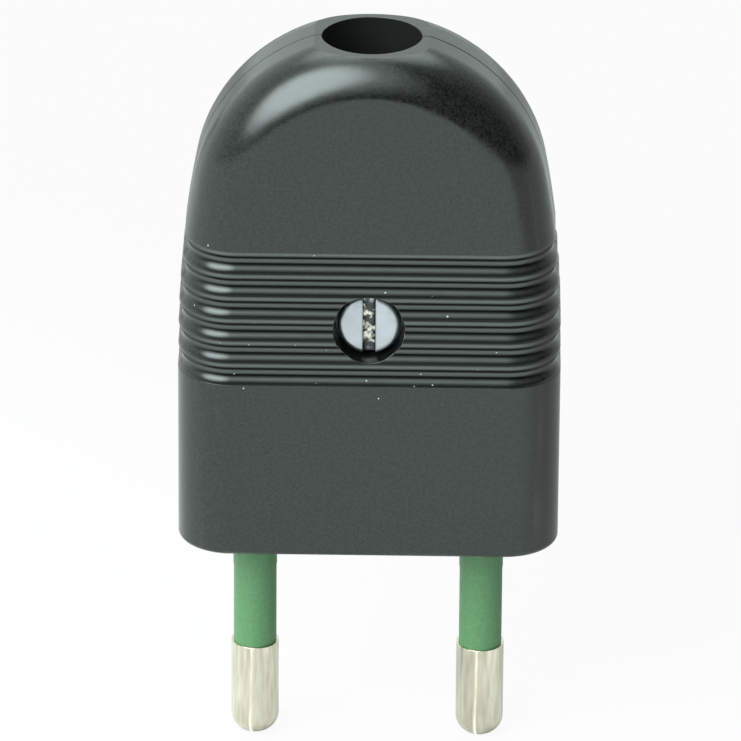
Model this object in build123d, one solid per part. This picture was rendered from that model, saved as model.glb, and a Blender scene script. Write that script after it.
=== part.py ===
"""Two-pin mains plug with a screwed, two-part moulded body. All sizes are in millimetres.

The origin is the centre of the engagement face, midway between the pins. The pins point along -Z, the cord
enters from +Z, the closing screw's head faces -Y, and the two covers meet on the plane Y = 0.
"""

import os
from math import atan2, cos, degrees, pi, sqrt

from build123d import *

# Body outline, seen from the front
BODY_WIDTH = 31.74
BODY_HEIGHT = 44.85
BODY_DEPTH = 13.5
CROWN_STEP = 1.2  # how much smaller the crown's radius is than half the width
FLANK_RADIUS = 78.0  # long arcs that lead from the straight sides to the crown
EDGE_RADIUS = 4.5  # rounding between the sides and the two panels
BASE_EDGE_RADIUS = 0.5

# Walls of the covers
WALL = 1.7
BASE_WALL = 2.4
PARTING_GAP = 0.14  # shadow line between the covers
PARTING_GAP_DEPTH = 0.45

# Grip band: rounded hollows all round the body, with crests level with its surface
GRIP_FIRST = 16.55  # height of the lowest hollow
GRIP_PITCH = 2.0
GRIP_HOLLOWS = 6
GRIP_DEPTH = 0.38
GRIP_STEPS = 12  # strips that make up one hollow
GRIP_INSET = 0.03  # depth of the band's ends, which keeps them off the body's surface

# Cord entry and clamp
ENTRY_DIAMETER = 8.15
ENTRY_RIM_RADIUS = 0.3
COLLAR_LENGTH = 6.5
CORD_DIAMETER = 6.8
CLAMP_DROP = 12.0  # from the top of the crown to the middle of the clamp
CLAMP_WIDTH = 5.0
CLAMP_HEIGHT = 3.6
CLAMP_ARCH_RISE = 2.4
CLAMP_SPAN = 14.2  # between the clamp's screws
CLAMP_FOOT = 4.8  # length of each foot along the span
CLAMP_SCREW_DIAMETER = 2.4
CLAMP_SCREW_HEAD = 4.0
CLAMP_SCREW_LENGTH = 5.8
CLAMP_SLOT_WIDTH = 0.6
CLAMP_SLOT_DEPTH = 0.5
CLAMP_POST_WALL = 1.1
SADDLE_THICKNESS = 2.0

# Pins
PIN_SPACING = 19.0
PIN_DIAMETER = 4.0
PIN_LENGTH = 19.35  # from the engagement face to the tip
PIN_TIP_RADIUS = 1.65
CORE_DIAMETER = 2.6  # under the sleeve
SLEEVE_DIAMETER = 3.6
SLEEVE_LENGTH = 10.9  # outside the body
SLEEVE_ROOT_STEP = 0.04  # the sleeve's first stretch is this much larger in radius
SLEEVE_ROOT_LENGTH = 3.75

# Terminal head on each pin
TERMINAL_DIAMETER = 5.6
TERMINAL_LENGTH = 9.6
TERMINAL_CHAMFER = 0.3
WIRE_BORE = 2.6
WIRE_BORE_DEPTH = 7.0
TERMINAL_SCREW_DROP = 3.4  # from the head's top to its screw
TERMINAL_SCREW_DIAMETER = 3.0
TERMINAL_SCREW_HEAD = 4.2
TERMINAL_SCREW_HEAD_HEIGHT = 1.1
TERMINAL_SCREW_REACH = 0.4  # into the wire bore
TERMINAL_SLOT_WIDTH = 0.7
TERMINAL_SLOT_DEPTH = 0.6
TERMINAL_SEAT_DEPTH = 0.5  # flat on the head under its screw

# Closing screw and nut
SCREW_HEIGHT = 20.6  # above the engagement face
SCREW_DIAMETER = 3.0
SCREW_HEAD_DIAMETER = 5.2
SCREW_HEAD_HEIGHT = 2.0
SCREW_HEAD_ROUNDING = 0.45
SCREW_SLOT_WIDTH = 1.05
SCREW_SLOT_DEPTH = 0.9
SCREW_RECESS = 1.1  # head's face below the panel
COUNTERBORE_DIAMETER = 5.9
NUT_ACROSS_FLATS = 5.5
NUT_THICKNESS = 2.4
NUT_RECESS = 1.1
SCREW_OVERRUN = 0.4  # past the nut

# Seats inside the covers
BOSS_WALL = 1.3
PARTITION = 1.6
CRADLE_THICKNESS = 1.4
CRADLE_RISE = 1.6  # from the foot of the terminal head
SHELF_THICKNESS = 1.2
WIRE_NOTCH = 4.2
PEG_DIAMETER = 2.2
PEG_LENGTH = 1.4
PEG_WALL = 1.1
PEG_RISE = 2.0  # from the top of the shelf to the peg's boss

# Clearances
SLIDE_CLEARANCE = 0.08  # around pins, sleeves, pegs and the nut
THREAD_CLEARANCE = 0.05
SCREW_HOLE_CLEARANCE = 0.15
SEAT_CLEARANCE = 0.1  # between the ends of a piece and its seat

HALF_WIDTH = BODY_WIDTH / 2
HALF_DEPTH = BODY_DEPTH / 2
CROWN_RADIUS = HALF_WIDTH - CROWN_STEP
CROWN_CENTRE = BODY_HEIGHT - CROWN_RADIUS
FLANK_CENTRE = HALF_WIDTH - FLANK_RADIUS
FLANK_BASE = CROWN_CENTRE - sqrt((FLANK_RADIUS - CROWN_RADIUS) ** 2 - FLANK_CENTRE**2)
FLANK_ANGLE = degrees(atan2(CROWN_CENTRE - FLANK_BASE, -FLANK_CENTRE))
GRIP_BASE = GRIP_FIRST - GRIP_PITCH / 2
GRIP_LENGTH = GRIP_HOLLOWS * GRIP_PITCH
PIN_X = PIN_SPACING / 2
TERMINAL_BASE = BASE_WALL + SEAT_CLEARANCE
TERMINAL_TOP = TERMINAL_BASE + TERMINAL_LENGTH
TERMINAL_SCREW_HEIGHT = TERMINAL_TOP - TERMINAL_SCREW_DROP
TERMINAL_SEAT = TERMINAL_DIAMETER / 2 - TERMINAL_SEAT_DEPTH
SHELF_BASE = TERMINAL_TOP + SEAT_CLEARANCE
PEG_HEIGHT = SHELF_BASE + SHELF_THICKNESS + PEG_RISE
PEG_X = HALF_WIDTH - WALL - PEG_DIAMETER / 2
CLAMP_Z = BODY_HEIGHT - CLAMP_DROP
CLAMP_X = CLAMP_SPAN / 2
CLAMP_LENGTH = CLAMP_SPAN + CLAMP_FOOT
SCREW_FACE = HALF_DEPTH - SCREW_RECESS
SCREW_SEAT = SCREW_FACE - SCREW_HEAD_HEIGHT
NUT_SEAT = HALF_DEPTH - NUT_RECESS - NUT_THICKNESS
BOSS_RADIUS = COUNTERBORE_DIAMETER / 2 + BOSS_WALL
INNER_DEPTH = HALF_DEPTH - WALL
UPWARD = (Align.CENTER, Align.CENTER, Align.MIN)
MATCH_TOLERANCE = 0.001


def body_face(inset: float, floor: float) -> Face:
    """Front outline of the body, moved inward by inset, with a straight base at the floor's height."""
    side = HALF_WIDTH - inset
    flank = FLANK_RADIUS - inset
    right_flank = CenterArc((FLANK_CENTRE, FLANK_BASE), flank, 0, FLANK_ANGLE)
    crown = CenterArc((0, CROWN_CENTRE), CROWN_RADIUS - inset, FLANK_ANGLE, 180 - 2 * FLANK_ANGLE)
    left_flank = CenterArc((-FLANK_CENTRE, FLANK_BASE), flank, 180 - FLANK_ANGLE, FLANK_ANGLE)
    base = Polyline((-side, FLANK_BASE), (-side, floor), (side, floor), (side, FLANK_BASE))
    return Plane.XZ * make_face([*base.edges(), right_flank, crown, left_flank])


def half_width(height: float) -> float:
    """Half the body's width at a height within the straight sides and the flanks."""
    rise = max(height - FLANK_BASE, 0)
    return FLANK_CENTRE + sqrt(FLANK_RADIUS**2 - rise**2)


def grip_section(height: float) -> Sketch:
    """Level section through the grip band, with its open side past the parting plane."""
    wave = (1 - cos(2 * pi * (height - GRIP_BASE) / GRIP_PITCH)) / 2
    depth = GRIP_INSET + (GRIP_DEPTH - GRIP_INSET) * wave
    side = half_width(height) - depth
    front = HALF_DEPTH - depth
    corners = [(side, EDGE_RADIUS), (side, -front), (-side, -front), (-side, EDGE_RADIUS)]
    rim = FilletPolyline(*corners, radius=EDGE_RADIUS - depth)
    back = Line((-side, EDGE_RADIUS), (side, EDGE_RADIUS))
    return Plane.XY.offset(height) * make_face([*rim.edges(), back])


def grip_band() -> Part:
    """Front half of the body between the ends of the grip band, lofted through its hollows and crests."""
    step = GRIP_PITCH / GRIP_STEPS
    heights = [GRIP_BASE + index * step for index in range(GRIP_HOLLOWS * GRIP_STEPS + 1)]
    band = loft([grip_section(height) for height in heights], ruled=True)
    return split(band, bisect_by=Plane.XZ, keep=Keep.TOP)


def on_front(x: float, height: float) -> Location:
    """Place on the parting plane, with its normal towards the front."""
    return Plane.XZ * Location((x, height))


def outer_half() -> Part:
    """Solid front half of the body, with its rounded edges and its grip band."""
    half = extrude(body_face(0, 0), amount=HALF_DEPTH)
    panel_edges = half.faces().sort_by(Axis.Y)[0].edges().sort_by(Axis.Z)[1:]
    half = fillet(panel_edges, EDGE_RADIUS)
    base_edges = half.faces().sort_by(Axis.Z)[0].edges().sort_by(Axis.Y)[:-1]
    half = fillet(base_edges, BASE_EDGE_RADIUS)
    slab = Pos(0, 0, GRIP_BASE) * Box(2 * BODY_WIDTH, 2 * BODY_DEPTH, GRIP_LENGTH, align=UPWARD)
    return half - slab + grip_band()


def cavity() -> Part:
    """Hollow of the front half, with the same wall along its rounded edges as on its panel."""
    hollow = extrude(body_face(WALL, BASE_WALL), amount=INNER_DEPTH)
    rounded = hollow.faces().sort_by(Axis.Y)[0].edges().sort_by(Axis.Z)[1:]
    return fillet(rounded, EDGE_RADIUS - WALL)


def entry_cylinder(radius: float, length: float) -> Part:
    """Upright cylinder on the cord entry's axis, from the lower end of its collar."""
    return Pos(0, 0, BODY_HEIGHT - COLLAR_LENGTH) * Cylinder(radius, length, align=UPWARD)


def ribs() -> Sketch:
    """Ribs and bosses that both covers share, as drawn on the parting plane."""
    cradle = TERMINAL_BASE + CRADLE_RISE
    plan = Pos(0, (BASE_WALL + SCREW_HEIGHT) / 2) * Rectangle(PARTITION, SCREW_HEIGHT - BASE_WALL)
    plan += Pos(0, cradle + CRADLE_THICKNESS / 2) * Rectangle(BODY_WIDTH, CRADLE_THICKNESS)
    plan += Pos(0, SHELF_BASE + SHELF_THICKNESS / 2) * Rectangle(BODY_WIDTH, SHELF_THICKNESS)
    plan += Pos(0, SCREW_HEIGHT) * Circle(BOSS_RADIUS)
    for side in (-1, 1):
        plan += Pos(side * PEG_X, PEG_HEIGHT) * Circle(PEG_DIAMETER / 2 + PEG_WALL)
    return Plane.XZ * plan


def pin_cuts() -> Part:
    """Everything that the two pins, their sleeves and their wires take out of a cover."""
    bore = SLEEVE_DIAMETER / 2 + SLEEVE_ROOT_STEP + SLIDE_CLEARANCE
    pocket = TERMINAL_DIAMETER / 2 + SLIDE_CLEARANCE
    cut = Cylinder(bore, BASE_WALL, align=UPWARD)
    cut += Pos(0, 0, BASE_WALL) * Cylinder(pocket, SHELF_BASE - BASE_WALL, align=UPWARD)
    cut += Pos(0, 0, SHELF_BASE) * Cylinder(WIRE_NOTCH / 2, SHELF_THICKNESS, align=UPWARD)
    return Pos(-PIN_X, 0, 0) * cut + Pos(PIN_X, 0, 0) * cut


def parting_line() -> Part:
    """Thin step round the outside of a cover's mating edge."""
    ring = offset(body_face(0, 0), PARTING_GAP) - body_face(PARTING_GAP_DEPTH, PARTING_GAP_DEPTH)
    return extrude(ring, amount=PARTING_GAP / 2)


def cover_blank() -> Part:
    """Front half shell with the features that both covers share."""
    hollow = cavity()
    collar = entry_cylinder(ENTRY_DIAMETER / 2 + WALL, COLLAR_LENGTH)
    blank = outer_half() - hollow
    blank += (extrude(ribs(), amount=HALF_DEPTH) + collar) & hollow
    blank -= pin_cuts() + entry_cylinder(ENTRY_DIAMETER / 2, 2 * COLLAR_LENGTH)
    blank = fillet(blank.edges().filter_by(on_entry_rim), ENTRY_RIM_RADIUS)
    return blank - parting_line()


def on_entry_rim(edge: Edge) -> bool:
    """Whether an edge runs round the outer mouth of the cord entry."""
    middle = edge @ 0.5
    radius = sqrt(middle.X**2 + middle.Y**2)
    on_bore = abs(radius - ENTRY_DIAMETER / 2) < MATCH_TOLERANCE
    return on_bore and middle.Z > BODY_HEIGHT - COLLAR_LENGTH / 2 and edge.geom_type != GeomType.LINE


def clamp_room() -> Part:
    """Room for the cord clamp and the heads of its screws."""
    length = CLAMP_LENGTH + 2 * SEAT_CLEARANCE
    width = CLAMP_WIDTH + 2 * SEAT_CLEARANCE
    height = CLAMP_HEIGHT + 2 * SEAT_CLEARANCE
    return extrude(on_front(0, CLAMP_Z) * Rectangle(length, width), amount=height)


def screw_hole() -> Sketch:
    """Outline of the closing screw's hole on the parting plane."""
    return on_front(0, SCREW_HEIGHT) * Circle(SCREW_DIAMETER / 2 + SCREW_HOLE_CLEARANCE)


def front_cover() -> Part:
    """Cover with the closing screw's counterbore and the sockets for the other cover's pegs."""
    cover = cover_blank() - clamp_room()
    cover -= extrude(screw_hole(), amount=HALF_DEPTH)
    counterbore = on_front(0, SCREW_HEIGHT) * Pos(0, 0, SCREW_SEAT) * Circle(COUNTERBORE_DIAMETER / 2)
    cover -= extrude(counterbore, amount=2 * HALF_DEPTH - SCREW_SEAT)
    for side in (-1, 1):
        socket = on_front(side * PEG_X, PEG_HEIGHT) * Circle(PEG_DIAMETER / 2 + SLIDE_CLEARANCE)
        cover -= extrude(socket, amount=PEG_LENGTH + SEAT_CLEARANCE)
        head = Circle(TERMINAL_SCREW_HEAD / 2 + SLIDE_CLEARANCE)
        head = on_front(side * PIN_X, TERMINAL_SCREW_HEIGHT) * head
        cover -= extrude(head, amount=TERMINAL_SEAT + TERMINAL_SCREW_HEAD_HEIGHT + SEAT_CLEARANCE)
    return cover


def rear_cover() -> Part:
    """Cover with the nut's pocket, the locating pegs, the cord's saddle and the clamp's posts."""
    cover = mirror(cover_blank(), about=Plane.XZ)
    hollow = mirror(cavity(), about=Plane.XZ)
    saddle = Rectangle(CLAMP_SPAN, SADDLE_THICKNESS)
    for side in (-1, 1):
        saddle += Pos(side * CLAMP_X, 0) * Circle(CLAMP_SCREW_DIAMETER / 2 + CLAMP_POST_WALL)
    saddle = extrude(on_front(0, CLAMP_Z) * saddle, amount=-HALF_DEPTH)
    saddle -= Pos(0, 0, CLAMP_Z) * Cylinder(CORD_DIAMETER / 2, 2 * SADDLE_THICKNESS)
    cover += saddle & hollow
    cover -= extrude(screw_hole(), amount=-HALF_DEPTH)
    pocket = RegularPolygon(NUT_ACROSS_FLATS / 2 + SLIDE_CLEARANCE, 6, major_radius=False)
    cover -= extrude(on_front(0, SCREW_HEIGHT) * Pos(0, 0, -NUT_SEAT) * pocket, amount=-HALF_DEPTH)
    for side in (-1, 1):
        cover += extrude(on_front(side * PEG_X, PEG_HEIGHT) * Circle(PEG_DIAMETER / 2), amount=PEG_LENGTH)
        thread = on_front(side * CLAMP_X, CLAMP_Z) * Circle(CLAMP_SCREW_DIAMETER / 2 + THREAD_CLEARANCE)
        cover -= extrude(thread, amount=-(CLAMP_SCREW_LENGTH - CLAMP_HEIGHT + SEAT_CLEARANCE))
    return cover


def pin() -> Part:
    """Turned pin on the Z axis: rounded tip, thinner core for the sleeve, and a terminal head."""
    radius = PIN_DIAMETER / 2
    core = CORE_DIAMETER / 2
    head = TERMINAL_DIAMETER / 2
    tip = PIN_TIP_RADIUS
    shank = Line((radius, tip - PIN_LENGTH), (radius, -SLEEVE_LENGTH))
    rounding = RadiusArc((radius - tip, -PIN_LENGTH), (radius, tip - PIN_LENGTH), -tip)
    above = Polyline(
        (radius, -SLEEVE_LENGTH),
        (core, -SLEEVE_LENGTH),
        (core, TERMINAL_BASE),
        (head, TERMINAL_BASE),
        (head, TERMINAL_TOP - TERMINAL_CHAMFER),
        (head - TERMINAL_CHAMFER, TERMINAL_TOP),
        (WIRE_BORE / 2, TERMINAL_TOP),
        (WIRE_BORE / 2, TERMINAL_TOP - WIRE_BORE_DEPTH),
        (0, TERMINAL_TOP - WIRE_BORE_DEPTH),
        (0, -PIN_LENGTH),
        (radius - tip, -PIN_LENGTH),
    )
    body = revolve(Plane.XZ * make_face([shank, rounding, *above.edges()]), Axis.Z)
    seat = on_front(0, TERMINAL_SCREW_HEIGHT) * Pos(0, 0, TERMINAL_SEAT) * Circle(TERMINAL_SCREW_HEAD / 2)
    body -= extrude(seat, amount=head)
    thread = on_front(0, TERMINAL_SCREW_HEIGHT) * Circle(TERMINAL_SCREW_DIAMETER / 2 + THREAD_CLEARANCE)
    return body - extrude(thread, amount=head)


def sleeve() -> Part:
    """Insulating sleeve on the Z axis, from the pin's bare end up to its terminal head."""
    inner = CORE_DIAMETER / 2
    outer = SLEEVE_DIAMETER / 2
    root = outer + SLEEVE_ROOT_STEP
    profile = Polyline(
        (inner, -SLEEVE_LENGTH),
        (outer, -SLEEVE_LENGTH),
        (outer, -SLEEVE_ROOT_LENGTH - SLEEVE_ROOT_STEP),
        (root, -SLEEVE_ROOT_LENGTH),
        (root, TERMINAL_BASE),
        (inner, TERMINAL_BASE),
        close=True,
    )
    return revolve(Plane.XZ * make_face(profile.edges()), Axis.Z)


def terminal_screw() -> Part:
    """Slotted cheese-head screw in a terminal head, on the Z axis with its seat at the origin."""
    reach = TERMINAL_SEAT - WIRE_BORE / 2 + TERMINAL_SCREW_REACH
    screw = extrude(Circle(TERMINAL_SCREW_HEAD / 2), amount=TERMINAL_SCREW_HEAD_HEIGHT)
    screw += extrude(Circle(TERMINAL_SCREW_DIAMETER / 2), amount=-reach)
    slot = Pos(0, 0, TERMINAL_SCREW_HEAD_HEIGHT - TERMINAL_SLOT_DEPTH) * Rectangle(
        2 * TERMINAL_SCREW_HEAD, TERMINAL_SLOT_WIDTH
    )
    return screw - extrude(slot, amount=2 * TERMINAL_SLOT_DEPTH)


def cord_clamp() -> Part:
    """Bridge over the cord: an arch between two feet, with a countersunk hole in each foot."""
    arch = CLAMP_SPAN - CLAMP_FOOT
    crest = ThreePointArc((arch / 2, 0), (0, -CLAMP_ARCH_RISE), (-arch / 2, 0))
    back = Polyline(
        (-arch / 2, 0),
        (-CLAMP_LENGTH / 2, 0),
        (-CLAMP_LENGTH / 2, -CLAMP_HEIGHT),
        (CLAMP_LENGTH / 2, -CLAMP_HEIGHT),
        (CLAMP_LENGTH / 2, 0),
        (arch / 2, 0),
    )
    profile = Plane.XY.offset(CLAMP_Z) * make_face([crest, *back.edges()])
    bridge = extrude(profile, amount=CLAMP_WIDTH / 2, both=True)
    for side in (-1, 1):
        place = on_front(side * CLAMP_X, CLAMP_Z)
        hole = Circle(CLAMP_SCREW_DIAMETER / 2 + SCREW_HOLE_CLEARANCE)
        bridge -= extrude(place * hole, amount=CLAMP_HEIGHT)
        bridge -= place * Pos(0, 0, CLAMP_HEIGHT) * countersunk_head(THREAD_CLEARANCE)
    return bridge


def countersunk_head(clearance: float) -> Part:
    """Cone of the clamp screw's head on the Z axis, with its face at the origin, grown by a clearance."""
    rim = CLAMP_SCREW_HEAD / 2 + clearance
    neck = CLAMP_SCREW_DIAMETER / 2
    return Pos(0, 0, -(rim - neck) / 2) * Cone(neck, rim, rim - neck)


def clamp_screw() -> Part:
    """Slotted countersunk screw on the Z axis, with its face at the origin."""
    screw = countersunk_head(0) + extrude(Circle(CLAMP_SCREW_DIAMETER / 2), amount=-CLAMP_SCREW_LENGTH)
    slot = Pos(0, 0, -CLAMP_SLOT_DEPTH) * Rectangle(2 * CLAMP_SCREW_HEAD, CLAMP_SLOT_WIDTH)
    return screw - extrude(slot, amount=2 * CLAMP_SLOT_DEPTH)


def closing_screw() -> Part:
    """Slotted screw through both covers, with its slot upright."""
    head = extrude(Pos(0, 0, SCREW_SEAT) * Circle(SCREW_HEAD_DIAMETER / 2), amount=SCREW_HEAD_HEIGHT)
    head = fillet(head.edges().sort_by(Axis.Z)[-1], SCREW_HEAD_ROUNDING)
    shank = SCREW_SEAT + NUT_SEAT + NUT_THICKNESS + SCREW_OVERRUN
    screw = head + extrude(Pos(0, 0, SCREW_SEAT) * Circle(SCREW_DIAMETER / 2), amount=-shank)
    slot = Pos(0, 0, SCREW_FACE - SCREW_SLOT_DEPTH) * Rectangle(SCREW_SLOT_WIDTH, 2 * SCREW_HEAD_DIAMETER)
    return on_front(0, SCREW_HEIGHT) * (screw - extrude(slot, amount=2 * SCREW_SLOT_DEPTH))


def closing_nut() -> Part:
    """Hexagon nut at the bottom of the rear cover's pocket."""
    hexagon = RegularPolygon(NUT_ACROSS_FLATS / 2, 6, major_radius=False)
    ring = hexagon - Circle(SCREW_DIAMETER / 2 + THREAD_CLEARANCE)
    return extrude(on_front(0, SCREW_HEIGHT) * Pos(0, 0, -NUT_SEAT) * ring, amount=-NUT_THICKNESS)


def main() -> None:
    """Build every piece in place and write one STEP file for each node."""
    terminal_place = Pos(0, 0, TERMINAL_SEAT)
    clamp_place = Pos(0, 0, CLAMP_HEIGHT)
    nodes = {
        "front_cover": front_cover(),
        "rear_cover": rear_cover(),
        "left_pin": Pos(-PIN_X, 0, 0) * pin(),
        "right_pin": Pos(PIN_X, 0, 0) * pin(),
        "left_pin_sleeve": Pos(-PIN_X, 0, 0) * sleeve(),
        "right_pin_sleeve": Pos(PIN_X, 0, 0) * sleeve(),
        "terminal_screws": Compound(
            [on_front(x, TERMINAL_SCREW_HEIGHT) * terminal_place * terminal_screw() for x in (-PIN_X, PIN_X)]
        ),
        "cord_clamp": cord_clamp(),
        "cord_clamp_screws": Compound(
            [on_front(x, CLAMP_Z) * clamp_place * clamp_screw() for x in (-CLAMP_X, CLAMP_X)]
        ),
        "closing_screw": closing_screw(),
        "closing_nut": closing_nut(),
    }
    os.makedirs("parts", exist_ok=True)
    for name, shape in nodes.items():
        export_step(shape, f"parts/{name}.step")


if __name__ == "__main__":
    main()
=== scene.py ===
"""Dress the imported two-pin mains plug and set it in a white studio.

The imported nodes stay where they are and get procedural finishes, and a modifier on the covers cuts the
crown flat round the cord entry. The scene adds the studio: a white floor, the light of the room and a
camera at the photograph's viewing angle. Sizes are written in millimetres and turned into Blender's
metres by one function, and angles are in degrees.
"""

import logging
import math
from abc import ABC, abstractmethod
from dataclasses import dataclass
from enum import Enum, IntEnum
from typing import Any, ClassVar

import bpy
from mathutils import Matrix, Vector


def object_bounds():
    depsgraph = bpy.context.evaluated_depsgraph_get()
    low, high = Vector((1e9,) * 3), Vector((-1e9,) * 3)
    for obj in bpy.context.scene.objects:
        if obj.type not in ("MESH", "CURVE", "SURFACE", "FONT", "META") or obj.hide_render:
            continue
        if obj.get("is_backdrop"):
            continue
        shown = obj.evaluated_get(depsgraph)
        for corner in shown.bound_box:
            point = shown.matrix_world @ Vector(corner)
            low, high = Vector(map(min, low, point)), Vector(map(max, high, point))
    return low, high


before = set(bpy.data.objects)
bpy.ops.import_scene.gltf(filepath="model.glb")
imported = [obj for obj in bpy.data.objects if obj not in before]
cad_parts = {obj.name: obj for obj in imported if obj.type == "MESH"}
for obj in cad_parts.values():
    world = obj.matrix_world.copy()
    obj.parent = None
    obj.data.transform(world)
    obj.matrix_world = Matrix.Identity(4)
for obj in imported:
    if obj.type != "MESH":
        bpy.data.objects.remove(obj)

LOG = logging.getLogger("plug")
RGBA = tuple[float, float, float, float]
XYZ = tuple[float, float, float]
Socket = bpy.types.NodeSocket
Tree = bpy.types.NodeTree


class Kind(Enum):
    """Shader and geometry nodes that the finishes, the flat entry and the studio are made of."""

    AMBIENT_OCCLUSION = "ShaderNodeAmbientOcclusion"
    BACKGROUND = "ShaderNodeBackground"
    BEVEL = "ShaderNodeBevel"
    BLOCK = "GeometryNodeMeshCube"
    BUMP = "ShaderNodeBump"
    COORDINATES = "ShaderNodeTexCoord"
    CUT = "GeometryNodeMeshBoolean"
    DIFFUSE = "ShaderNodeBsdfDiffuse"
    EMISSION = "ShaderNodeEmission"
    GROUP_INPUT = "NodeGroupInput"
    GROUP_OUTPUT = "NodeGroupOutput"
    LIGHT_PATH = "ShaderNodeLightPath"
    MAP_RANGE = "ShaderNodeMapRange"
    MATH = "ShaderNodeMath"
    MIX = "ShaderNodeMix"
    MIX_SHADER = "ShaderNodeMixShader"
    NOISE = "ShaderNodeTexNoise"
    OUTPUT = "ShaderNodeOutputMaterial"
    PRINCIPLED = "ShaderNodeBsdfPrincipled"
    RAMP = "ShaderNodeValToRGB"
    SEPARATE = "ShaderNodeSeparateXYZ"
    SPLIT = "GeometryNodeSplitEdges"
    TRANSFORM = "GeometryNodeTransform"
    VECTOR_MATH = "ShaderNodeVectorMath"
    VORONOI = "ShaderNodeTexVoronoi"
    WAVE = "ShaderNodeTexWave"
    WORLD_OUTPUT = "ShaderNodeOutputWorld"


class MixSocket(IntEnum):
    """Places of the colour sockets on a Mix node, which has one set for each kind of data."""

    FACTOR = 0
    COLOUR_A = 6
    COLOUR_B = 7
    COLOUR_OUT = 2


def metres(millimetres: float) -> float:
    """Turn a size in millimetres into Blender's metres.

    Args:
        millimetres: The size to convert.

    Returns:
        The same size in metres.
    """
    return millimetres / 1000.0


def pattern_scale(millimetres: float) -> float:
    """Work out a texture's scale from the size of one feature of the pattern.

    Args:
        millimetres: Size of one feature on the surface.

    Returns:
        The scale for a texture that reads object coordinates in metres.
    """
    return 1.0 / metres(millimetres)


def to_linear(code: str) -> RGBA:
    """Turn an sRGB hex colour into the linear colour that shaders take.

    Args:
        code: Colour as "#rrggbb".

    Returns:
        Linear red, green, blue and an alpha of one.
    """
    levels = [int(code[place : place + 2], 16) / 255.0 for place in (1, 3, 5)]
    red, green, blue = (v / 12.92 if v <= 0.04045 else ((v + 0.055) / 1.055) ** 2.4 for v in levels)
    return (red, green, blue, 1.0)


def direction(azimuth: float, elevation: float) -> Vector:
    """Unit vector from the object towards a place round it.

    Args:
        azimuth: Degrees round +Z from the front, positive towards +X.
        elevation: Degrees above the horizon.

    Returns:
        The unit vector.
    """
    turn, rise = math.radians(azimuth), math.radians(elevation)
    return Vector((math.sin(turn) * math.cos(rise), -math.cos(turn) * math.cos(rise), math.sin(rise)))


def add_node(tree: Tree, kind: Kind, settings: dict[str | int, Any]) -> bpy.types.Node:
    """Add one node with its settings and its incoming links.

    Args:
        tree: Node tree that takes the node.
        kind: Kind of node.
        settings: What goes into each input, by its name or its place, and each property by its name. An
            output socket is linked to the input, and any other value is set there.

    Returns:
        The new node.
    """
    node = tree.nodes.new(kind.value)
    inputs = {socket.name for socket in node.inputs} | set(range(len(node.inputs)))
    # Properties come first, because some of them change what the inputs take.
    for name in [name for name in settings if name not in inputs]:
        setattr(node, name, settings[name])
    for name in [name for name in settings if name in inputs]:
        if isinstance(settings[name], Socket):
            tree.links.new(settings[name], node.inputs[name])
        else:
            node.inputs[name].default_value = settings[name]
    return node


@dataclass(frozen=True)
class Finish(ABC):
    """Base of every finish: a named material, and the mottle that most surfaces share."""

    # A noise seldom leaves the middle of its range, so a mottle spreads this part of it over the whole.
    NOISE_LOW: ClassVar[float] = 0.3
    NOISE_HIGH: ClassVar[float] = 0.7
    NOISE_DETAIL: ClassVar[float] = 3.0
    # Samples for each point of a rounded edge.
    EDGE_SAMPLES: ClassVar[int] = 6

    name: str

    def material(self) -> bpy.types.Material:
        """Make the material, or find it where an earlier piece already has it.

        Returns:
            The finished material.
        """
        material = bpy.data.materials.get(self.name)
        if material is None:
            material = bpy.data.materials.new(self.name)
            material.use_nodes = True
            tree = material.node_tree
            tree.nodes.clear()
            add_node(tree, Kind.OUTPUT, {"Surface": self.surface(tree)})
        return material

    @abstractmethod
    def surface(self, tree: Tree) -> Socket:
        """Add the shader of the finish.

        Args:
            tree: Empty node tree of the material.

        Returns:
            Output socket with the shader.
        """

    def mottle(self, tree: Tree, size: float, low: float, high: float, length: float = 1.0) -> Socket:
        """Add soft patches in object space.

        Args:
            tree: Node tree of the material.
            size: Size of one patch in millimetres.
            low: Value in the pattern's lows.
            high: Value in its highs.
            length: Times that a patch is longer up the object than across it.

        Returns:
            Output socket with the value.
        """
        place = add_node(tree, Kind.COORDINATES, {}).outputs["Object"]
        drawn = add_node(
            tree, Kind.VECTOR_MATH, {"operation": "MULTIPLY", 0: place, 1: (1.0, 1.0, 1.0 / length)}
        )
        noise = add_node(
            tree,
            Kind.NOISE,
            {
                "Vector": drawn.outputs["Vector"],
                "Scale": pattern_scale(size),
                "Detail": self.NOISE_DETAIL,
            },
        )
        spread = add_node(
            tree,
            Kind.MAP_RANGE,
            {
                "Value": noise.outputs["Fac"],
                "From Min": self.NOISE_LOW,
                "From Max": self.NOISE_HIGH,
                "To Min": low,
                "To Max": high,
            },
        )
        return spread.outputs["Result"]


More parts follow.
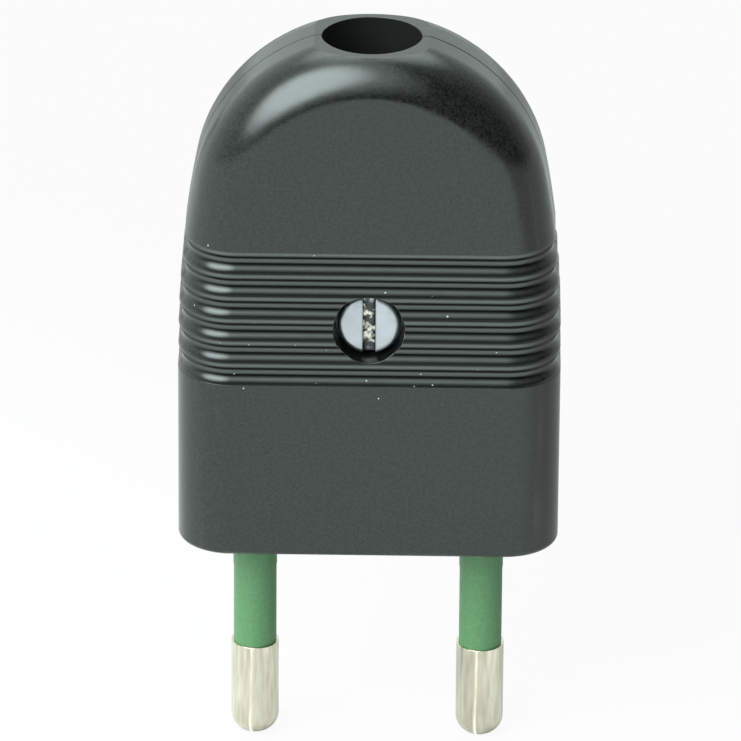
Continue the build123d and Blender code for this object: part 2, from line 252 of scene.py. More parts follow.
@dataclass(frozen=True)
class MouldedPlastic(Finish):
    """Plastic from a polished mould: satin gloss over a fine grain, with shallow sink marks."""

    # Level at which a surface reflects just what its IOR gives.
    PLAIN_SHINE: ClassVar[float] = 0.5

    deep: str
    pale: str
    smooth: float
    rough: float
    ior: float = 1.5
    sheen: str = "#ffffff"
    # Pigment and grain are too fine to show at their real size, so both are drawn coarser.
    pigment: float = 0.24
    grain: float = 0.12
    grain_height: float = 0.0009
    # Going past zero and one lets flecks of both plain colours show.
    fleck_low: float = -0.2
    fleck_high: float = 1.2
    patch: float = 1.2
    sink: float = 7.0
    sink_height: float = 0.012
    edge: float = 0.08

    def surface(self, tree: Tree) -> Socket:
        """Add the shader of the plastic.

        Args:
            tree: Empty node tree of the material.

        Returns:
            Output socket with the shader.
        """
        # The rounded edge normal gives sharp moulded edges the thin bright line of a real radius.
        edge = {"samples": self.EDGE_SAMPLES, "Radius": metres(self.edge)}
        normal = add_node(tree, Kind.BEVEL, edge).outputs["Normal"]
        # Sink marks bend long highlights a little, and the grain breaks their borders.
        for size, height in ((self.sink, self.sink_height), (self.grain, self.grain_height)):
            bump = {
                "Distance": metres(height),
                "Height": self.mottle(tree, size, 0.0, 1.0),
                "Normal": normal,
            }
            normal = add_node(tree, Kind.BUMP, bump).outputs["Normal"]
        shader = add_node(
            tree,
            Kind.PRINCIPLED,
            {
                "IOR": self.ior,
                "Specular Tint": to_linear(self.sheen),
                "Specular IOR Level": self.shine(tree),
                "Base Color": self.colour(tree),
                "Roughness": self.gloss(tree),
                "Normal": normal,
            },
        )
        return shader.outputs["BSDF"]

    def shine(self, tree: Tree) -> Socket | float:
        """Leave the strength of the reflections even."""
        return self.PLAIN_SHINE

    def colour(self, tree: Tree) -> Socket:
        """Add the pigment, which is a little uneven in the resin.

        Args:
            tree: Node tree of the material.

        Returns:
            Output socket with the colour.
        """
        flecks = add_node(
            tree,
            Kind.MIX,
            {
                "data_type": "RGBA",
                MixSocket.FACTOR: self.mottle(tree, self.pigment, self.fleck_low, self.fleck_high),
                MixSocket.COLOUR_A: to_linear(self.deep),
                MixSocket.COLOUR_B: to_linear(self.pale),
            },
        )
        return flecks.outputs[MixSocket.COLOUR_OUT]

    def gloss(self, tree: Tree) -> Socket:
        """Add the roughness, which is a little uneven too."""
        return self.mottle(tree, self.patch, self.smooth, self.rough)


@dataclass(frozen=True)
class CoverPlastic(MouldedPlastic):
    """Plastic of the covers: dull in the grip's hollows, with painted highlight lines and painted shade
    between them on the grip, and painted light in the cord entry.
    """

    # Colour inside the cord entry, lighter than the pigment: painted light against the shade in there.
    entry_painted_light: str = "#1f211f"
    entry_radius: float = 4.15
    entry_base: float = 30.0
    grip_middle: float = 21.55
    grip_length: float = 12.0
    grip_pitch: float = 2.0
    # Width from the middle up to which the painted lines on the grip are full, and from which they are
    # gone.
    lines_full_to: float = 12.6
    lines_gone_from: float = 14.8
    screw_height: float = 20.6
    screw_reach: float = 3.0
    # Share of painted highlight over one pitch of the grip, from a crest up to the next. One bright
    # painted highlight line lies below each crest, a weaker one just above the bottom of each hollow and
    # a faint one above each crest. Between them the reflections are dimmed, which is painted shade.
    highlight_levels: tuple[tuple[float, float], ...] = (
        (0.0, 0.02),
        (0.12, 0.06),
        (0.25, 0.22),
        (0.37, 0.0),
        (0.43, 0.0),
        (0.57, 0.5),
        (0.67, 0.0),
        (0.75, 0.0),
        (0.86, 0.92),
        (1.0, 0.02),
    )
    # Colour of the painted highlight lines on the grip.
    painted_highlight_colour: str = "#5c6260"
    # Level of the reflections between the painted highlight lines, dimmed as painted shade, and the share
    # of painted highlight from which they are whole.
    shaded_shine: float = 0.1
    shade_gone_at: float = 0.2
    # Roughness of the film, and the heights of the grip's wave at which it starts and is full.
    film_rough: float = 0.75
    film_from: float = 0.35
    film_full: float = 0.85
    dust_colour: str = "#a8b2ae"
    dust_spacing: float = 1.5
    dust_radius: float = 0.07
    dust_reach: float = 7.2

    def colour(self, tree: Tree) -> Socket:
        """Lay painted highlight lines on the grip, painted light in the cord entry and a few specks of
        dust over the pigment.

        Args:
            tree: Node tree of the material.

        Returns:
            Output socket with the colour.
        """
        # The lighter lines on the grip are painted highlight.
        lit_lines = add_node(
            tree,
            Kind.MIX,
            {
                "data_type": "RGBA",
                MixSocket.FACTOR: self.painted_highlight(tree),
                MixSocket.COLOUR_A: to_linear(self.deep),
                MixSocket.COLOUR_B: to_linear(self.painted_highlight_colour),
            },
        )
        layers = (
            (self.painted_lines_area(tree), lit_lines.outputs[MixSocket.COLOUR_OUT]),
            (self.in_entry(tree), to_linear(self.entry_painted_light)),
            (self.dust(tree), to_linear(self.dust_colour)),
        )
        colour = super().colour(tree)
        for share, layer in layers:
            laid = add_node(
                tree,
                Kind.MIX,
                {
                    "data_type": "RGBA",
                    MixSocket.FACTOR: share,
                    MixSocket.COLOUR_A: colour,
                    MixSocket.COLOUR_B: layer,
                },
            )
            colour = laid.outputs[MixSocket.COLOUR_OUT]
        return colour

    def gloss(self, tree: Tree) -> Socket:
        """Add the roughness, with a dull film on the upper side of each hollow of the grip.

        Args:
            tree: Node tree of the material.

        Returns:
            Output socket with the roughness.
        """
        film = add_node(
            tree,
            Kind.MAP_RANGE,
            {
                "Value": self.grip_wave(tree),
                "From Min": self.film_from,
                "From Max": self.film_full,
            },
        )
        dull = add_node(
            tree,
            Kind.MAP_RANGE,
            {
                "Value": film.outputs["Result"],
                "To Min": super().gloss(tree),
                "To Max": self.film_rough,
            },
        )
        return dull.outputs["Result"]

    def shine(self, tree: Tree) -> Socket:
        """Dim the reflections between the painted highlight lines on the grip, which is painted shade.

        Args:
            tree: Node tree of the material.

        Returns:
            Output socket with the strength of the reflections.
        """
        # The reflections dimmed between the lines are painted shade.
        grip = add_node(
            tree,
            Kind.MAP_RANGE,
            {
                "Value": self.painted_highlight(tree),
                "From Max": self.shade_gone_at,
                "To Min": self.shaded_shine,
                "To Max": self.PLAIN_SHINE,
            },
        )
        both = add_node(
            tree,
            Kind.MAP_RANGE,
            {
                "Value": self.painted_lines_area(tree),
                "To Min": self.PLAIN_SHINE,
                "To Max": grip.outputs["Result"],
            },
        )
        return both.outputs["Result"]

    def painted_highlight(self, tree: Tree) -> Socket:
        """Repeat the painted highlight lines at each pitch of the grip.

        Args:
            tree: Node tree of the material.

        Returns:
            Output socket with the share of painted highlight.
        """
        turn = add_node(
            tree,
            Kind.MATH,
            {
                "operation": "MULTIPLY_ADD",
                0: self.height(tree),
                1: pattern_scale(self.grip_pitch),
                # A crest lies half-way up the grip.
                2: -self.grip_middle / self.grip_pitch,
            },
        )
        part = add_node(tree, Kind.MATH, {"operation": "FRACT", 0: turn.outputs[0]})
        lines = add_node(tree, Kind.RAMP, {"Fac": part.outputs[0]})
        stops = lines.color_ramp.elements
        stops.remove(stops[-1])
        stops[0].position, level = self.highlight_levels[0]
        stops[0].color = (level, level, level, 1.0)
        for place, level in self.highlight_levels[1:]:
            stops.new(place).color = (level, level, level, 1.0)
        return lines.outputs["Color"]

    def painted_lines_area(self, tree: Tree) -> Socket:
        """Mark the part of the grip that takes the painted highlight and shade, which fades out round the
        corners.

        Args:
            tree: Node tree of the material.

        Returns:
            Output socket that is one on the panels' part of the grip and zero on its sides.
        """
        place = add_node(tree, Kind.COORDINATES, {}).outputs["Object"]
        across = add_node(tree, Kind.SEPARATE, {"Vector": place}).outputs["X"]
        out = add_node(tree, Kind.MATH, {"operation": "ABSOLUTE", 0: across})
        reach = add_node(
            tree,
            Kind.MAP_RANGE,
            {
                "Value": out.outputs[0],
                "From Min": metres(self.lines_full_to),
                "From Max": metres(self.lines_gone_from),
                "To Min": 1.0,
                "To Max": 0.0,
            },
        )
        both = {"operation": "MULTIPLY", 0: reach.outputs["Result"], 1: self.on_grip(tree)}
        return add_node(tree, Kind.MATH, both).outputs[0]

    def on_grip(self, tree: Tree) -> Socket:
        """Mark the grip.

        Args:
            tree: Node tree of the material.

        Returns:
            Output socket that is one on the grip and zero off it, and in the hole for the closing screw.
        """
        inside = add_node(
            tree,
            Kind.MATH,
            {
                "operation": "COMPARE",
                0: self.height(tree),
                1: metres(self.grip_middle),
                2: metres(self.grip_length) / 2.0,
            },
        )
        from_screw = add_node(
            tree,
            Kind.VECTOR_MATH,
            {
                "operation": "MULTIPLY_ADD",
                0: add_node(tree, Kind.COORDINATES, {}).outputs["Object"],
                1: (1.0, 0.0, 1.0),
                2: (0.0, 0.0, -metres(self.screw_height)),
            },
        )
        radius = add_node(
            tree, Kind.VECTOR_MATH, {"operation": "LENGTH", 0: from_screw.outputs["Vector"]}
        )
        clear = add_node(
            tree,
            Kind.MATH,
            {"operation": "GREATER_THAN", 0: radius.outputs["Value"], 1: metres(self.screw_reach)},
        )
        both = {"operation": "MULTIPLY", 0: inside.outputs[0], 1: clear.outputs[0]}
        return add_node(tree, Kind.MATH, both).outputs[0]

    def grip_wave(self, tree: Tree) -> Socket:
        """Follow the grip's hollows up the body.

        Args:
            tree: Node tree of the material.

        Returns:
            Output socket that is zero off the grip, at its crests and at the bottom of its hollows, and
            goes up to one on the side of a hollow that looks down.
        """
        per_metre = 2.0 * math.pi * pattern_scale(self.grip_pitch)
        turn = add_node(
            tree,
            Kind.MATH,
            {
                "operation": "MULTIPLY_ADD",
                0: self.height(tree),
                1: per_metre,
                # A crest lies half-way up the grip.
                2: math.pi - per_metre * metres(self.grip_middle),
            },
        )
        wave = add_node(tree, Kind.MATH, {"operation": "SINE", 0: turn.outputs[0]})
        both = {"operation": "MULTIPLY", 0: wave.outputs[0], 1: self.on_grip(tree)}
        return add_node(tree, Kind.MATH, both).outputs[0]

    def in_entry(self, tree: Tree) -> Socket:
        """Mark the cord entry, whose colour is lightened there as painted light against the shade inside
        it.

        Args:
            tree: Node tree of the material.

        Returns:
            Output socket that is one in the entry and zero elsewhere.
        """
        place = add_node(tree, Kind.COORDINATES, {}).outputs["Object"]
        across = add_node(
            tree, Kind.VECTOR_MATH, {"operation": "MULTIPLY", 0: place, 1: (1.0, 1.0, 0.0)}
        )
        radius = add_node(tree, Kind.VECTOR_MATH, {"operation": "LENGTH", 0: across.outputs["Vector"]})
        inside = add_node(
            tree,
            Kind.MATH,
            {"operation": "LESS_THAN", 0: radius.outputs["Value"], 1: metres(self.entry_radius)},
        )
        high = add_node(
            tree,
            Kind.MATH,
            {"operation": "GREATER_THAN", 0: self.height(tree), 1: metres(self.entry_base)},
        )
        both = {"operation": "MULTIPLY", 0: inside.outputs[0], 1: high.outputs[0]}
        return add_node(tree, Kind.MATH, both).outputs[0]

    def dust(self, tree: Tree) -> Socket:
        """Scatter a few specks of dust over the grip and a little beyond it.

        Args:
            tree: Node tree of the material.

        Returns:
            Output socket that is one on a speck and zero elsewhere.
        """
        specks = add_node(
            tree,
            Kind.VORONOI,
            {
                "Vector": add_node(tree, Kind.COORDINATES, {}).outputs["Object"],
                "Scale": pattern_scale(self.dust_spacing),
            },
        )
        speck = add_node(
            tree,
            Kind.MATH,
            {
                "operation": "LESS_THAN",
                0: specks.outputs["Distance"],
                1: self.dust_radius / self.dust_spacing,
            },
        )
        near = add_node(
            tree,
            Kind.MATH,
            {
                "operation": "COMPARE",
                0: self.height(tree),
                1: metres(self.grip_middle),
                2: metres(self.dust_reach),
            },
        )
        both = {"operation": "MULTIPLY", 0: speck.outputs[0], 1: near.outputs[0]}
        return add_node(tree, Kind.MATH, both).outputs[0]

    def height(self, tree: Tree) -> Socket:
        """Add the height in metres above the face that the pins come out of."""
        place = add_node(tree, Kind.COORDINATES, {}).outputs["Object"]
        return add_node(tree, Kind.SEPARATE, {"Vector": place}).outputs["Z"]


@dataclass(frozen=True)
class TurnedMetal(Finish):
    """Plated metal, turned on a lathe: bright, with fine rings, faint tarnish and painted shade in its
    recesses.
    """

    # A wave texture goes through this many radians in one unit of its scale.
    WAVE_TURN: ClassVar[float] = 20.0
    # Samples for each point of a recess.
    RECESS_SAMPLES: ClassVar[int] = 8
    # Patches of gloss in the width of one patch of tarnish.
    GLOSS_PATCHES: ClassVar[float] = 3.0

    deep: str
    pale: str
    smooth: float
    rough: float
    tarnish: float = 2.2
    # Times that the patches are longer along the piece than across it.
    drawn: float = 1.0
    # Painted shade for recesses, laid where nearby walls shade them.
    recess_shade: str = "#2a2b29"
    # Distance over which a wall shades a recess, and the shares of open air at which the painted recess
    # shade gives way to the plating and at which the plating is whole.
    recess_reach: float = 1.4
    shade_full_below: float = 0.6
    shade_gone_above: float = 0.8
    chip: str = "#f4f1e2"
    chips: float = 0.5
    # Starting far below zero leaves only the peaks of the pattern, so the chips are few.
    chip_low: float = -1.3
    chip_high: float = 1.25
    # Feed marks are usually about a tenth of a millimetre apart, which is too fine to show. They are
    # drawn coarser.
    ring: float = 0.5655
    ring_height: float = 0.0006
    ring_waver: float = 1.5
    ring_detail: float = 3.0
    edge: float = 0.08

    def surface(self, tree: Tree) -> Socket:
        """Add the shader of the metal.

        Args:
            tree: Empty node tree of the material.

        Returns:
            Output socket with the shader.
        """
        gloss = self.tarnish / self.GLOSS_PATCHES
        shader = add_node(
            tree,
            Kind.PRINCIPLED,
            {
                "Metallic": 1.0,
                "Base Color": self.colour(tree),
                "Roughness": self.mottle(tree, gloss, self.smooth, self.rough, self.drawn),
                "Normal": self.rings(tree),
            },
        )
        return shader.outputs["BSDF"]

    def colour(self, tree: Tree) -> Socket:
        """Add the tarnished plating, and painted shade in recesses such as the sawn slot.

        Args:
            tree: Node tree of the material.

        Returns:
            Output socket with the colour.
        """
        plated = add_node(
            tree,
            Kind.MIX,
            {
                "data_type": "RGBA",
                MixSocket.FACTOR: self.mottle(tree, self.tarnish, 0.0, 1.0, self.drawn),
                MixSocket.COLOUR_A: to_linear(self.deep),
                MixSocket.COLOUR_B: to_linear(self.pale),
            },
        )
        # The sawn slot and other recesses are darkened as painted shade, with bright chips where the saw
        # tore the metal.
        shaded_recess = add_node(
            tree,
            Kind.MIX,
            {
                "data_type": "RGBA",
                MixSocket.FACTOR: self.mottle(tree, self.chips, self.chip_low, self.chip_high),
                MixSocket.COLOUR_A: to_linear(self.recess_shade),
                MixSocket.COLOUR_B: to_linear(self.chip),
            },
        )
        open_air = add_node(
            tree,
            Kind.AMBIENT_OCCLUSION,
            {
                "samples": self.RECESS_SAMPLES,
                "only_local": True,
                "Distance": metres(self.recess_reach),
            },
        )
        # Below this share of open air the colour is the painted shade.
        unshaded = add_node(
            tree,
            Kind.MAP_RANGE,
            {
                "Value": open_air.outputs["AO"],
                "From Min": self.shade_full_below,
                "From Max": self.shade_gone_above,
            },
        )
        both = add_node(
            tree,
            Kind.MIX,
            {
                "data_type": "RGBA",
                MixSocket.FACTOR: unshaded.outputs["Result"],
                MixSocket.COLOUR_A: shaded_recess.outputs[MixSocket.COLOUR_OUT],
                MixSocket.COLOUR_B: plated.outputs[MixSocket.COLOUR_OUT],
            },
        )
        return both.outputs[MixSocket.COLOUR_OUT]

    def rings(self, tree: Tree) -> Socket:
        """Add the tool's feed marks, which lie across the axis and spread the highlight along the piece.

        Args:
            tree: Node tree of the material.

        Returns:
            Output socket with the normal.
        """
        rings = add_node(
            tree,
            Kind.WAVE,
            {
                "bands_direction": "Z",
                "Vector": add_node(tree, Kind.COORDINATES, {}).outputs["Object"],
                "Scale": 2.0 * math.pi * pattern_scale(self.ring) / self.WAVE_TURN,
                "Distortion": self.ring_waver,
                "Detail": self.ring_detail,
            },
        )
        edge = {"samples": self.EDGE_SAMPLES, "Radius": metres(self.edge)}
        bump = add_node(
            tree,
            Kind.BUMP,
            {
                "Distance": metres(self.ring_height),
                "Height": rings.outputs["Fac"],
                "Normal": add_node(tree, Kind.BEVEL, edge).outputs["Normal"],
            },
        )
        return bump.outputs["Normal"]


@dataclass(frozen=True)
class StudioWhite(Finish):
    """White board, greyed towards one side as painted shade: white to the camera, but still taking the
    object's shadow.
    """

    board: str
    # Grey towards the right rear: painted shade, seen mostly in reflections.
    shade_colour: str
    # Shares of plain white for the camera, and for what mirrors the board.
    seen: float
    mirrored: float
    white: str = "#ffffff"
    # The board darkens into painted shade towards this azimuth, between these two distances.
    shade_side: float = 135.0
    shade_start: float = -20.0
    shade_full: float = 65.0
    # A reflector strip in front of each pin: its distance from the middle, its reach to the front, the
    # sideways slope of its middle line, the slopes beside that up to which it is full and at which it has
    # faded, and its level above white.
    strip_place: float = 9.5
    strip_reach: float = 26.0
    strip_lean: float = 0.3
    strip_full: float = 0.02
    strip_faded: float = 0.17
    strip_level: float = 0.6

    def surface(self, tree: Tree) -> Socket:
        """Add the shader of the floor.

        Args:
            tree: Empty node tree of the material.

        Returns:
            Output socket with the shader.
        """
        board = add_node(tree, Kind.DIFFUSE, {"Color": self.colour(tree)})
        strips = self.strips(tree)
        level = {"operation": "MULTIPLY_ADD", 0: strips, 1: self.strip_level, 2: 1.0}
        white = add_node(
            tree,
            Kind.EMISSION,
            {
                "Color": to_linear(self.white),
                "Strength": add_node(tree, Kind.MATH, level).outputs[0],
            },
        )
        share = add_node(tree, Kind.MATH, {"operation": "ADD", 0: self.white_share(tree), 1: strips})
        both = {0: share.outputs[0], 1: board.outputs["BSDF"], 2: white.outputs["Emission"]}
        return add_node(tree, Kind.MIX_SHADER, both).outputs["Shader"]

    def colour(self, tree: Tree) -> Socket:
        """Fade the board's colour into the grey of the painted shade.

        Args:
            tree: Node tree of the material.

        Returns:
            Output socket with the colour.
        """
        along = add_node(
            tree,
            Kind.VECTOR_MATH,
            {
                "operation": "DOT_PRODUCT",
                0: add_node(tree, Kind.COORDINATES, {}).outputs["Object"],
                1: direction(self.shade_side, 0.0),
            },
        )
        fade = add_node(
            tree,
            Kind.MAP_RANGE,
            {
                "interpolation_type": "SMOOTHSTEP",
                "Value": along.outputs["Value"],
                "From Min": metres(self.shade_start),
                "From Max": metres(self.shade_full),
            },
        )
        both = add_node(
            tree,
            Kind.MIX,
            {
                "data_type": "RGBA",
                MixSocket.FACTOR: fade.outputs["Result"],
                MixSocket.COLOUR_A: to_linear(self.board),
                MixSocket.COLOUR_B: to_linear(self.shade_colour),
            },
        )
        return both.outputs[MixSocket.COLOUR_OUT]

    def white_share(self, tree: Tree) -> Socket:
        """Give the rays that show the board, seen or mirrored, their share of plain white.

        Args:
            tree: Node tree of the material.

        Returns:
            Output socket with the share, which is zero for rays that only carry light.
        """
        path = add_node(tree, Kind.LIGHT_PATH, {})
        shares = {
            "Is Camera Ray": self.seen,
            "Is Glossy Ray": self.mirrored,
            "Is Transmission Ray": self.mirrored,
        }
        total: Socket | float = 0.0
        for name, share in shares.items():
            more = {"operation": "MULTIPLY_ADD", 0: path.outputs[name], 1: share, 2: total}
            total = add_node(tree, Kind.MATH, more).outputs[0]
        return total

    def strips(self, tree: Tree) -> Socket:
        """Lay a white reflector strip in front of each pin, which widens with the distance from it.

        Args:
            tree: Node tree of the material.

        Returns:
            Output socket that is one where the strips are mirrored and fades to zero beside them.
        """
        place = add_node(tree, Kind.COORDINATES, {}).outputs["Object"]
        ways = add_node(tree, Kind.SEPARATE, {"Vector": place}).outputs
        spacing = metres(self.strip_place)
        side = add_node(tree, Kind.MATH, {"operation": "ADD", 0: ways["X"], 1: spacing})
        # Wrapping the width at the pins' spacing puts both pins at zero.
        beside = add_node(
            tree, Kind.MATH, {"operation": "WRAP", 0: side.outputs[0], 1: spacing, 2: -spacing}
        )
        slope = add_node(tree, Kind.MATH, {"operation": "DIVIDE", 0: beside.outputs[0], 1: ways["Y"]})
        off = add_node(
            tree, Kind.MATH, {"operation": "SUBTRACT", 0: slope.outputs[0], 1: self.strip_lean}
        )
        lean = add_node(tree, Kind.MATH, {"operation": "ABSOLUTE", 0: off.outputs[0]})
        strip = add_node(
            tree,
            Kind.MAP_RANGE,
            {
                "Value": lean.outputs[0],
                "From Min": self.strip_full,
                "From Max": self.strip_faded,
                "To Min": 1.0,
                "To Max": 0.0,
            },
        )
        half = metres(self.strip_reach) / 2.0
        near = add_node(tree, Kind.MATH, {"operation": "COMPARE", 0: ways["Y"], 1: -half, 2: half})
        both = add_node(
            tree, Kind.MATH, {"operation": "MULTIPLY", 0: strip.outputs["Result"], 1: near.outputs[0]}
        )
        glossy = add_node(tree, Kind.LIGHT_PATH, {}).outputs["Is Glossy Ray"]
        mirrored = {"operation": "MULTIPLY", 0: both.outputs[0], 1: glossy}
        return add_node(tree, Kind.MATH, mirrored).outputs[0]


@dataclass(kw_only=True)
class SubAssembly(ABC):
    """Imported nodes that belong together, and how their facets are joined into smooth surfaces."""

    # Corners of neighbouring facets are nearer than this, and real edges are sharper than this angle.
    facet_gap: float = 0.0002
    crease: float = 30.0

    @abstractmethod
    def dress(self) -> list[str]:
        """Give the nodes their finishes, and return the names of the dressed nodes."""

    def dress_nodes(self, names: tuple[str, ...], finish: Finish, cut: Tree | None = None) -> None:
        """Put one finish on each named node and shade its shallow facets as one smooth surface.

        Args:
            names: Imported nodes.
            finish: Finish for all of them.
            cut: Last cut in their shape, if they have one.
        """
        for name in names:
            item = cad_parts[name]
            item.data.materials.clear()
            item.data.materials.append(finish.material())
            item.modifiers.new("joined_facets", "WELD").merge_threshold = metres(self.facet_gap)
            if cut is not None:
                item.modifiers.new(cut.name, "NODES").node_group = cut
            split = item.modifiers.new("real_edges", "EDGE_SPLIT")
            split.use_edge_sharp = False
            split.split_angle = math.radians(self.crease)
            item.modifiers.new("smooth_shading", "WEIGHTED_NORMAL")


@dataclass(kw_only=True)
class Body(SubAssembly):
    """The two moulded covers and what closes them."""

    cover: CoverPlastic
    steel: TurnedMetal
    covers: tuple[str, ...] = ("front_cover", "rear_cover")
    fasteners: tuple[str, ...] = ("closing_screw", "closing_nut")
    # Height of the flat face round the cord entry, and the width of the block that cuts it.
    entry_face: float = 44.07
    entry_block: float = 12.0

    def dress(self) -> list[str]:
        """Give the covers their flat entry, and the covers and their fasteners their finishes.

        Returns:
            Names of the dressed nodes.
        """
        self.dress_nodes(self.covers, self.cover, self.flat_entry())
        self.dress_nodes(self.fasteners, self.steel)
        return [*self.covers, *self.fasteners]

    def flat_entry(self) -> Tree:
        """Make the cut that leaves the crown flat round the cord entry.

        Returns:
            The cut, for a modifier on each cover.
        """
        tree = bpy.data.node_groups.new("flat_entry", "GeometryNodeTree")
        for way in ("INPUT", "OUTPUT"):
            tree.interface.new_socket("Geometry", in_out=way, socket_type="NodeSocketGeometry")
        cover = add_node(tree, Kind.GROUP_INPUT, {})
        size = metres(self.entry_block)
        block = add_node(tree, Kind.BLOCK, {"Size": (size, 2.0 * size, size)})
        middle = (0.0, 0.0, metres(self.entry_face) + size / 2.0)
        above = add_node(
            tree, Kind.TRANSFORM, {"Geometry": block.outputs["Mesh"], "Translation": middle}
        )
        cut = add_node(
            tree,
            Kind.CUT,
            {
                "operation": "DIFFERENCE",
                "solver": "EXACT",
                "Mesh 1": cover.outputs["Geometry"],
                "Mesh 2": above.outputs["Geometry"],
            },
        ).outputs
        crisp = add_node(
            tree, Kind.SPLIT, {"Mesh": cut["Mesh"], "Selection": cut["Intersecting Edges"]}
        )
        add_node(tree, Kind.GROUP_OUTPUT, {"Geometry": crisp.outputs["Mesh"]})
        return tree


@dataclass(kw_only=True)
class Pins(SubAssembly):
    """The two contact pins with their insulating sleeves and terminal screws."""

    brass: TurnedMetal
    sleeve: MouldedPlastic
    steel: TurnedMetal
    pins: tuple[str, ...] = ("left_pin", "right_pin")
    sleeves: tuple[str, ...] = ("left_pin_sleeve", "right_pin_sleeve")
    screws: tuple[str, ...] = ("terminal_screws",)

    def dress(self) -> list[str]:
        """Give the pins, sleeves and screws their finishes.

        Returns:
            Names of the dressed nodes.
        """
        self.dress_nodes(self.pins, self.brass)
        self.dress_nodes(self.sleeves, self.sleeve)
        self.dress_nodes(self.screws, self.steel)
        return [*self.pins, *self.sleeves, *self.screws]


@dataclass(kw_only=True)
class CordClamp(SubAssembly):
    """The bridge that holds the cord, with its two screws."""

    nylon: MouldedPlastic
    steel: TurnedMetal
    bridge: tuple[str, ...] = ("cord_clamp",)
    screws: tuple[str, ...] = ("cord_clamp_screws",)

    def dress(self) -> list[str]:
        """Give the bridge and its screws their finishes.

        Returns:
            Names of the dressed nodes.
        """
        self.dress_nodes(self.bridge, self.nylon)
        self.dress_nodes(self.screws, self.steel)
        return [*self.bridge, *self.screws]


@dataclass(frozen=True)
class Diffuser:
    """A round soft light in the room, with a border that fades out.

    The two last angles are measured from its middle: it is full up to one and has faded out at the other.
    """

    name: str
    azimuth: float
    elevation: float
    full: float
    faded: float
    level: float

    def add_to(self, tree: Tree, place: Socket) -> Socket:
        """Add the light to the room.

        Args:
            tree: Node tree of the world.
            place: Output socket with the direction that a ray looks in.

        Returns:
            Output socket with the light's level in that direction.
        """
        toward = add_node(
            tree,
            Kind.VECTOR_MATH,
            {
                "operation": "DOT_PRODUCT",
                "label": self.name,
                0: place,
                1: direction(self.azimuth, self.elevation),
            },
        )
        light = add_node(
            tree,
            Kind.MAP_RANGE,
            {
                "interpolation_type": "SMOOTHSTEP",
                "Value": toward.outputs["Value"],
                "From Min": math.cos(math.radians(self.faded)),
                "From Max": math.cos(math.radians(self.full)),
                "To Max": self.level,
            },
        )
        return light.outputs["Result"]


@dataclass
class Studio:
    """White floor, and a room with soft lights that is pale on one side and dim on the other."""

    floor: StudioWhite
    # Height of the floor in metres, at the lowest point of the object's bounds.
    floor_level: float
    lights: tuple[Diffuser, ...]
    floor_reach: float = 4000.0
    bright_side: float = -150.0
    bright: float = 1.25
    dim: float = 0.1
    # Cosine of the angle from the bright side at which the room is dim.
    dim_from: float = -0.6
    tint: str = "#f2fdfb"

    def build(self) -> list[str]:
        """Make the floor and the room with its lights.

        Returns:
            Names of what was made.
        """
        self.build_floor()
        self.build_room()
        return ["studio_floor", *(light.name for light in self.lights)]

    def build_floor(self) -> None:
        """Lay the floor under the object."""
        reach = metres(self.floor_reach)
        sides = ((-reach, -reach), (reach, -reach), (reach, reach), (-reach, reach))
        mesh = bpy.data.meshes.new("studio_floor")
        mesh.from_pydata([(x, y, self.floor_level) for x, y in sides], [], [(0, 1, 2, 3)])
        mesh.materials.append(self.floor.material())
        item = bpy.data.objects.new("studio_floor", mesh)
        bpy.context.collection.objects.link(item)
        item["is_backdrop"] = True

    def build_room(self) -> None:
        """Make the room's light: pale walls on one side, a dim room on the other, and the soft lights."""
        world = bpy.data.worlds.new("studio_room")
        world.use_nodes = True
        tree = world.node_tree
        tree.nodes.clear()
        place = add_node(tree, Kind.COORDINATES, {}).outputs["Generated"]
        side = add_node(
            tree,
            Kind.VECTOR_MATH,
            {"operation": "DOT_PRODUCT", 0: place, 1: direction(self.bright_side, 0.0)},
        )
        walls = add_node(
            tree,
            Kind.MAP_RANGE,
            {
                "Value": side.outputs["Value"],
                "From Min": self.dim_from,
                "To Min": self.dim,
                "To Max": self.bright,
            },
        )
        level = walls.outputs["Result"]
        for light in self.lights:
            more = {"operation": "ADD", 0: level, 1: light.add_to(tree, place)}
            level = add_node(tree, Kind.MATH, more).outputs[0]
        room = add_node(
            tree, Kind.BACKGROUND, {"Color": to_linear(self.tint), "Strength": level}
        )
        add_node(tree, Kind.WORLD_OUTPUT, {"Surface": room.outputs["Background"]})
        bpy.context.scene.world = world


@dataclass
class PhotoCamera:
    """Long-lens camera at the photograph's viewing angle."""

    azimuth: float = 0.669
    elevation: float = 24.25
    roll: float = 0.43
    distance: float = 699.2
    target: XYZ = (0.076, 0.0, 14.02)
    lens: float = 407.9
    sensor: float = 36.0
    # Times nearer and farther than the object that the camera still sees.
    sight: float = 100.0

    def build(self) -> bpy.types.Object:
        """Make the camera and hand it to the scene.

        Returns:
            The camera's object.
        """
        distance = metres(self.distance)
        data = bpy.data.cameras.new("photo_camera")
        data.lens = self.lens
        data.sensor_width = self.sensor
        data.clip_start = distance / self.sight
        data.clip_end = distance * self.sight
        item = bpy.data.objects.new("photo_camera", data)
        back = direction(self.azimuth, self.elevation)
        place = Matrix.Translation(Vector(map(metres, self.target)) + back * distance)
        look = (-back).to_track_quat("-Z", "Y").to_matrix().to_4x4()
        item.matrix_world = place @ look @ Matrix.Rotation(math.radians(self.roll), 4, "Z")
        bpy.context.collection.objects.link(item)
        bpy.context.scene.camera = item
        return item


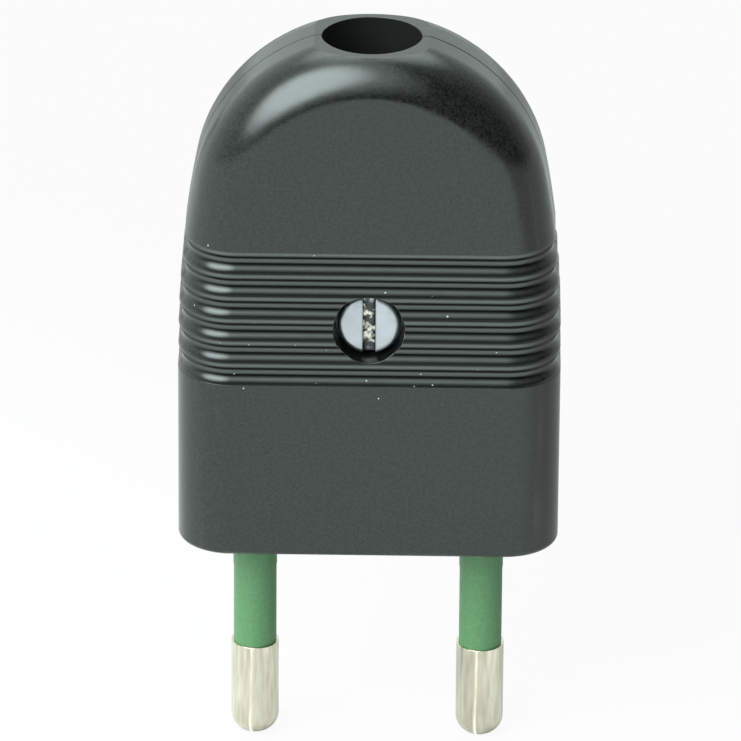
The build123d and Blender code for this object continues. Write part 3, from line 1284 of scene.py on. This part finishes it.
def main() -> None:
    """Dress the object piece by piece, then set the studio and the camera."""
    logging.basicConfig(level=logging.INFO, format="%(name)s: %(message)s")
    bpy.context.scene.view_settings.view_transform = "Standard"
    cad_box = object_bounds()
    # Phenolic resin, pressed in a polished mould: hard and nearly black, with a trace of green. Its high
    # IOR gives clear highlights with soft borders, and the grip has painted highlight lines with painted
    # shade between them.
    cover = CoverPlastic(
        "phenolic_moulded_satin", "#060706", "#1d1f1c", 0.14, 0.2, ior=1.66, sheen="#f9fffe"
    )
    # Nylon, moulded over the pins: softer than the covers, so its green shows under a broad, dull sheen.
    sleeve = MouldedPlastic("nylon_moulded_green", "#527f54", "#5a895c", 0.42, 0.5)
    # Nylon from a plain mould, inside the body: dark grey, with hardly any highlight.
    clamp = MouldedPlastic("nylon_moulded_dark", "#1c1e1d", "#232625", 0.4, 0.5)
    # Steel, turned and then zinc plated: a cold grey with blurred reflections, and rounded edges that
    # catch the light.
    steel = TurnedMetal("steel_turned_zinc_plated", "#b5babf", "#cdd0d5", 0.28, 0.4, edge=0.3)
    # Brass, turned and then nickel plated: it mirrors the room in streaks along the pin, and the brass
    # below gives the plating a warm cast.
    brass = TurnedMetal(
        "brass_turned_nickel_plated", "#cfc6b1", "#f4eddc", 0.12, 0.24, tarnish=0.45, drawn=8.0
    )
    # Board, painted matt white: it is as white as the background and takes only a faint shadow. Towards
    # the right rear it is greyed as painted shade, which shows in reflections.
    floor = StudioWhite("board_painted_matt_white", "#c4c4c4", "#8e8e8e", seen=0.92, mirrored=0.08)
    pieces = (
        Body(cover=cover, steel=steel),
        Pins(brass=brass, sleeve=sleeve, steel=steel),
        CordClamp(nylon=clamp, steel=steel),
    )
    for piece in pieces:
        LOG.info("%s: %s", type(piece).__name__, ", ".join(piece.dress()))
    lights = (
        Diffuser("key_light", -40.0, 40.0, 15.0, 34.0, 5.4),
        Diffuser("key_spill", -30.0, 45.0, 18.0, 48.0, 1.5),
        Diffuser("top_light", 180.0, 68.0, 14.0, 36.0, 2.8),
    )
    studio = Studio(floor=floor, floor_level=cad_box[0].z, lights=lights)
    LOG.info("Studio: %s", ", ".join(studio.build()))
    LOG.info("Camera: %s", PhotoCamera().build().name)


if __name__ == "__main__":
    main()
